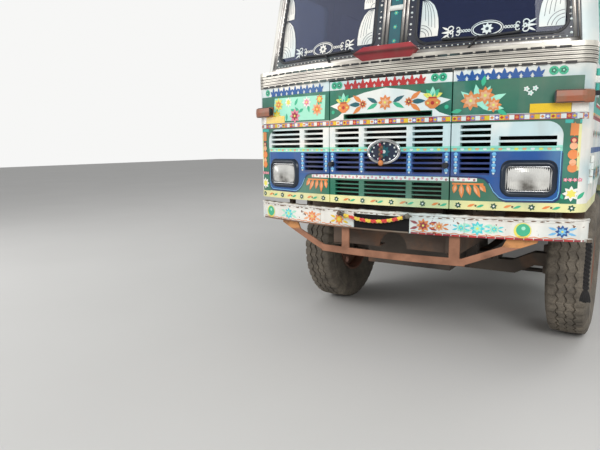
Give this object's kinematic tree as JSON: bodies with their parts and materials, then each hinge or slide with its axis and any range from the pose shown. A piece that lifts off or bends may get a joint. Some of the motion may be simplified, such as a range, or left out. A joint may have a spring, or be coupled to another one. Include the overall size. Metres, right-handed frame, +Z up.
{
  "type": "decorated haulage truck",
  "caption": "Full-size two-axle haulage truck with a hand-painted flat-faced cab, split windscreen, steered front wheels and a high-sided load body with a drop tailgate.",
  "frame": {"origin": "middle of the ground under the truck's bounding box", "axes": "+Z up, -Y the way the truck faces, +X its left side"},
  "size_m": [2.58, 7.426, 3.13],
  "materials": {
    "teal_paint": "semi-gloss brush paint with hand-painted ornament",
    "ornament_paint": "red sheet with beaten edges",
    "deck_wood": "worn timber",
    "body_paint": "painted sheet, scratched",
    "chassis_paint": "rusty brown dusty paint",
    "guard_paint": "orange-brown, rusty",
    "bumper_paint": "white, worn",
    "rim_paint": "red-brown, dusty",
    "tyre": "dusty rubber",
    "glass": "clear, dusty",
    "lamp": "lens and black bezel",
    "interior": "dark trim",
    "seat_fabric": "woven cover",
    "garland_cloth": "red and yellow twisted cloth",
    "braid_cloth": "black plaited cloth",
    "iron": "oily, dusty",
    "rubber": "matt",
    "mirror": "glass in a black case"
  },
  "bodies": {
    "chassis": {"cowl_left": "teal_paint", "cowl_right": "teal_paint", "face_band": "teal_paint", "windscreen_frame": "teal_paint", "cab_sides": "teal_paint", "cab_rear": "teal_paint", "roof": "body_paint", "crown": "teal_paint", "cab_glass": "glass", "cab_floor": "interior", "dashboard": "interior", "steering_wheel": "interior", "seats": "seat_fabric", "engine": "iron", "radiator": "iron", "frame_rails": "chassis_paint", "crossmembers": "chassis_paint", "cab_bearers": "chassis_paint", "bumper": "bumper_paint", "lower_guard": "guard_paint", "front_axle": "iron", "leaf_springs": "iron", "rear_axle": "iron", "propeller_shaft": "iron", "fuel_tank": "chassis_paint", "battery_box": "chassis_paint", "air_tanks": "chassis_paint", "silencer": "iron", "spare_tyre": "tyre", "spare_rim": "rim_paint", "cab_steps": "chassis_paint", "mudflaps": "rubber", "deck": "deck_wood", "deck_bearers": "chassis_paint", "front_mudguards": "chassis_paint", "ledge_ornament": "ornament_paint", "side_walls": "body_paint", "headboard": "body_paint", "lamps": "lamp", "mirrors": "mirror", "garland": "garland_cloth", "braid": "braid_cloth", "braid_tassel": "braid_cloth"},
    "front_flap": {"front_flap": "teal_paint"},
    "door_left": {"door_left": "teal_paint", "door_glass_left": "glass"},
    "door_right": {"door_right": "teal_paint", "door_glass_right": "glass"},
    "knuckle_left": {"knuckle_left": "iron"},
    "knuckle_right": {"knuckle_right": "iron"},
    "tie_rod": {"tie_rod": "iron"},
    "front_wheel_left": {"front_wheel_left": "rim_paint", "front_tyre_left": "tyre"},
    "front_wheel_right": {"front_wheel_right": "rim_paint", "front_tyre_right": "tyre"},
    "rear_wheels_left": {"rear_wheels_left": "rim_paint", "rear_tyres_left": "tyre"},
    "rear_wheels_right": {"rear_wheels_right": "rim_paint", "rear_tyres_right": "tyre"},
    "tailgate": {"tailgate": "body_paint"}
  },
  "joints": [
    {"name": "steer_left", "type": "hinge", "parent": "chassis", "child": "knuckle_left", "pos_m": [0.8, -2.365, 0.526], "axis": [0, 0, 1], "range_deg": [-35, 35]},
    {"name": "steer_right", "type": "hinge", "parent": "chassis", "child": "knuckle_right", "pos_m": [-0.8, -2.365, 0.526], "axis": [0, 0, 1], "range_deg": [-35, 35]},
    {"name": "tie_rod_pivot", "type": "hinge", "parent": "knuckle_right", "child": "tie_rod", "pos_m": [-0.8, -2.165, 0.39], "axis": [0, 0, 1], "range_deg": [-35, 35]},
    {"name": "front_spin_left", "type": "hinge", "parent": "knuckle_left", "child": "front_wheel_left", "pos_m": [0.965, -2.365, 0.526], "axis": [1, 0, 0], "continuous": true},
    {"name": "front_spin_right", "type": "hinge", "parent": "knuckle_right", "child": "front_wheel_right", "pos_m": [-0.965, -2.365, 0.526], "axis": [1, 0, 0], "continuous": true},
    {"name": "rear_spin_left", "type": "hinge", "parent": "chassis", "child": "rear_wheels_left", "pos_m": [0.905, 1.86, 0.526], "axis": [1, 0, 0], "continuous": true},
    {"name": "rear_spin_right", "type": "hinge", "parent": "chassis", "child": "rear_wheels_right", "pos_m": [-0.905, 1.86, 0.526], "axis": [1, 0, 0], "continuous": true},
    {"name": "door_left_hinge", "type": "hinge", "parent": "chassis", "child": "door_left", "pos_m": [1.1, -3.382, 1.5], "axis": [0, 0, -1], "range_deg": [0, 70]},
    {"name": "door_right_hinge", "type": "hinge", "parent": "chassis", "child": "door_right", "pos_m": [-1.1, -3.382, 1.5], "axis": [0, 0, 1], "range_deg": [0, 70]},
    {"name": "flap_hinge", "type": "hinge", "parent": "chassis", "child": "front_flap", "pos_m": [0, -3.669, 1.808], "axis": [-1, 0, 0], "range_deg": [0, 70]},
    {"name": "tailgate_hinge", "type": "hinge", "parent": "chassis", "child": "tailgate", "pos_m": [0, 3.705, 1.262], "axis": [-1, 0, 0], "range_deg": [0, 180]}
  ],
  "couplings": [
    {"joint": "steer_right", "follows": "steer_left", "ratio": 1},
    {"joint": "tie_rod_pivot", "follows": "steer_left", "ratio": -1}
  ]
}
